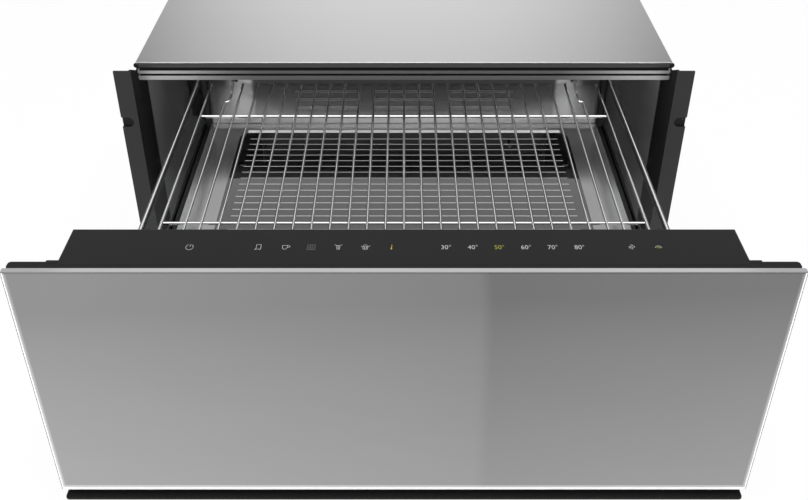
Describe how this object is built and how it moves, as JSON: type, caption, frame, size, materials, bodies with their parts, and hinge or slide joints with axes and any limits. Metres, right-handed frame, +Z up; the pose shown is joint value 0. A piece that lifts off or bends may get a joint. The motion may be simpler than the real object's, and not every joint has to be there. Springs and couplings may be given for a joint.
{
  "type": "warming drawer",
  "caption": "Built-in warming drawer: steel cabinet with screw flanges and a glass-fronted heated drawer on telescopic runners, with a wire rack and a fan.",
  "frame": {"origin": "centre of the cabinet's base underside", "axes": "+X right seen from the front, +Y to the back along the drawer's travel, +Z up"},
  "size_m": [0.752, 0.93, 0.31],
  "materials": {
    "cover_steel": "fine brushed stainless steel, satin",
    "trim_steel": "brushed stainless steel bars, satin",
    "zinc_sheet": "galvanised sheet, dull",
    "bracket_black": "black powder coat, matt",
    "liner_dark": "dark grey coated sheet, satin",
    "seal_rubber": "black silicone tube",
    "wool": "mineral wool slab",
    "runner_steel": "zinc plated runner steel",
    "ball_steel": "bright bearing steel",
    "black_plastic": "fine textured black plastic",
    "front_glass": "grey backed front glass, polished edges",
    "frame_black": "black anodised, satin",
    "backing_steel": "stainless backing sheet",
    "panel_glass": "black touch glass, satin",
    "floor_steel": "satin stainless steel",
    "floor_glass": "black ceramic glass with printed lines",
    "side_glass": "clear toughened glass",
    "rail_chrome": "polished steel rail",
    "rack_chrome": "bright chromed wire",
    "channel_black": "black anodised profile",
    "heater_mat": "silicone heating mat",
    "heater_tube": "heat tinted steel tube",
    "board_green": "circuit board lacquer",
    "motor_case": "grey painted motor case",
    "impeller_metal": "pressed aluminium",
    "plain_steel": "bright drawn steel"
  },
  "bodies": {
    "cabinet": {"base_plate": "zinc_sheet", "back_panel": "zinc_sheet", "left_side_panel": "zinc_sheet", "right_side_panel": "zinc_sheet", "top_cover": "cover_steel", "top_trim": "trim_steel", "top_seal": "seal_rubber", "left_mounting_bracket": "bracket_black", "right_mounting_bracket": "bracket_black", "ceiling_liner": "liner_dark", "left_inner_liner": "liner_dark", "right_inner_liner": "liner_dark", "ceiling_insulation": "wool", "left_runner_bracket": "zinc_sheet", "right_runner_bracket": "zinc_sheet", "left_runner_outer": "runner_steel", "right_runner_outer": "runner_steel", "mains_inlet": "black_plastic", "power_module": "black_plastic", "latch_body": "black_plastic", "latch_spring": "plain_steel", "cabinet_screws": "plain_steel"},
    "left_runner": {"left_runner_middle": "runner_steel", "left_ball_cages": "ball_steel"},
    "right_runner": {"right_runner_middle": "runner_steel", "right_ball_cages": "ball_steel"},
    "latch": {"latch_plunger": "black_plastic"},
    "fan": {"fan_shaft": "plain_steel", "impeller": "impeller_metal"},
    "drawer": {"front_insulation": "wool", "left_runner_inner": "runner_steel", "right_runner_inner": "runner_steel", "front_glass": "front_glass", "front_backing": "backing_steel", "front_frame": "frame_black", "bottom_ledge": "frame_black", "control_box": "black_plastic", "control_glass": "panel_glass", "control_board": "board_green", "drawer_tub": "zinc_sheet", "floor_pan": "floor_steel", "floor_glass": "floor_glass", "heater_mat": "heater_mat", "heater_tray": "zinc_sheet", "inner_front_wall": "floor_steel", "rear_wall": "floor_steel", "rear_duct": "zinc_sheet", "temperature_sensor": "plain_steel", "left_side_channel": "channel_black", "right_side_channel": "channel_black", "left_side_glass": "side_glass", "right_side_glass": "side_glass", "left_top_rail": "rail_chrome", "right_top_rail": "rail_chrome", "fan_housing": "zinc_sheet", "fan_motor": "motor_case", "heating_element": "heater_tube", "rack": "rack_chrome", "rack_rests": "plain_steel", "drawer_screws": "plain_steel"}
  },
  "joints": [
    {"name": "drawer_slide", "type": "slide", "parent": "cabinet", "child": "drawer", "axis": [0, 1, 0], "range_m": [0, 0.387]},
    {"name": "left_runner_slide", "type": "slide", "parent": "cabinet", "child": "left_runner", "axis": [0, 1, 0], "range_m": [0, 0.1935]},
    {"name": "right_runner_slide", "type": "slide", "parent": "cabinet", "child": "right_runner", "axis": [0, 1, 0], "range_m": [0, 0.1935]},
    {"name": "latch_push", "type": "slide", "parent": "cabinet", "child": "latch", "axis": [0, 1, 0], "range_m": [0, 0.008], "stiffness_N_per_m": 500, "deforming": ["latch_spring"]},
    {"name": "fan_spin", "type": "hinge", "parent": "drawer", "child": "fan", "pos_m": [0, -0.307, 0.05], "axis": [0, 0, 1], "continuous": true}
  ],
  "couplings": [
    {"joint": "left_runner_slide", "follows": "drawer_slide", "ratio": 0.5},
    {"joint": "right_runner_slide", "follows": "drawer_slide", "ratio": 0.5}
  ]
}
